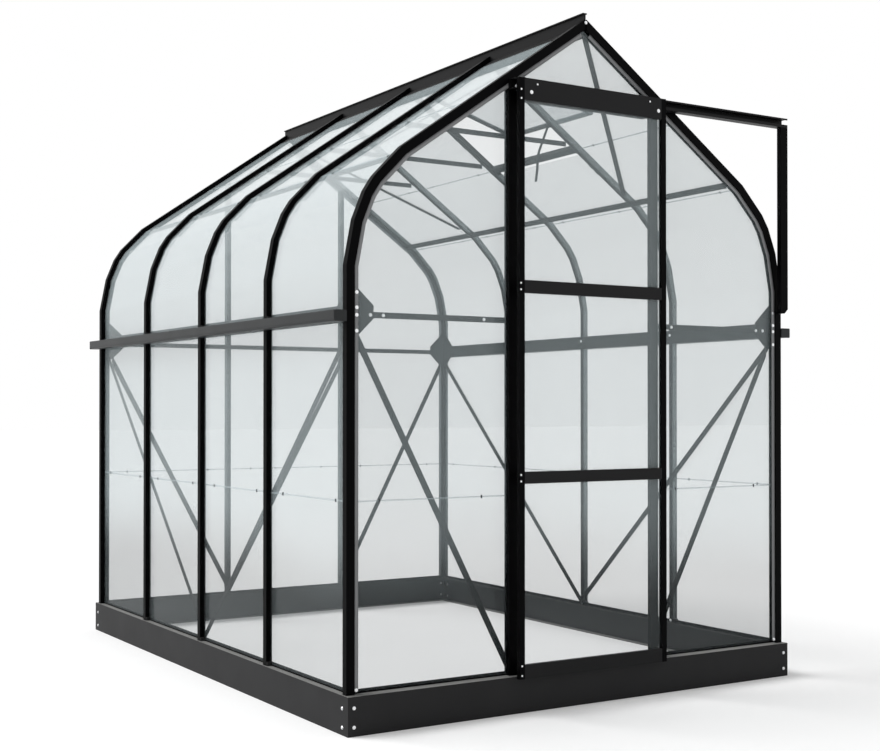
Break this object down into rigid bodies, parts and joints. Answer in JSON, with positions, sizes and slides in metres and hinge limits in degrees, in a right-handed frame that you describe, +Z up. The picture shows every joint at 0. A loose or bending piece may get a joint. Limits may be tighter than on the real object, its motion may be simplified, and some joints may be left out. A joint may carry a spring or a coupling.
{
  "type": "glass greenhouse",
  "caption": "Walk-in glass greenhouse with a black aluminium frame, bowed eaves, ridge bar, gutters, a propped roof vent and a sliding door.",
  "frame": {"origin": "centre of the footprint, on the ground", "axes": "+X across the gable to the right as seen from the door, +Y along the ridge away from the door, +Z up"},
  "size_m": [2.008, 2.589, 2.4517],
  "materials": {
    "black_frame": "satin black powder coat",
    "base_steel": "satin dark grey powder coat",
    "clear_glass": "clear float glass",
    "eave_sheet": "clear acrylic sheet",
    "nylon": "nylon wheels on steel axles"
  },
  "bodies": {
    "frame": {"back_corner_posts": "black_frame", "back_gable_bows": "black_frame", "back_gable_braces": "black_frame", "back_gable_glass": "clear_glass", "back_gable_rails": "black_frame", "back_posts": "black_frame", "base_back": "base_steel", "base_front": "base_steel", "base_left": "base_steel", "base_right": "base_steel", "collar_ties": "black_frame", "corner_plates": "black_frame", "door_lintel": "black_frame", "door_posts": "black_frame", "door_track": "black_frame", "front_corner_posts": "black_frame", "front_gable_bows": "black_frame", "front_gable_braces": "black_frame", "front_gable_glass": "clear_glass", "front_gable_rails": "black_frame", "gutter_left": "black_frame", "gutter_right": "black_frame", "left_eave_panels": "eave_sheet", "left_eave_rail": "black_frame", "left_purlin": "black_frame", "left_roof_bows": "black_frame", "left_roof_glass": "clear_glass", "left_side_bars": "black_frame", "left_side_braces": "black_frame", "left_wall_glass": "clear_glass", "ridge_bar": "black_frame", "right_eave_panels": "eave_sheet", "right_eave_rail": "black_frame", "right_purlin": "black_frame", "right_roof_bows": "black_frame", "right_roof_glass": "clear_glass", "right_side_bars": "black_frame", "right_side_braces": "black_frame", "right_wall_glass": "clear_glass", "roof_braces": "black_frame", "sill_back": "black_frame", "sill_front": "black_frame", "sill_left": "black_frame", "sill_right": "black_frame", "track_support": "black_frame", "vent_frame": "black_frame", "vent_glass": "clear_glass", "vent_sill_bar": "black_frame", "vent_stay": "black_frame"},
    "door": {"door_glass": "clear_glass", "door_header": "black_frame", "door_rails": "black_frame", "door_stiles": "black_frame", "door_wheels": "nylon"}
  },
  "joints": [
    {"name": "door_slide", "type": "slide", "parent": "frame", "child": "door", "axis": [1, 0, 0], "range_m": [0, 0.58]}
  ]
}
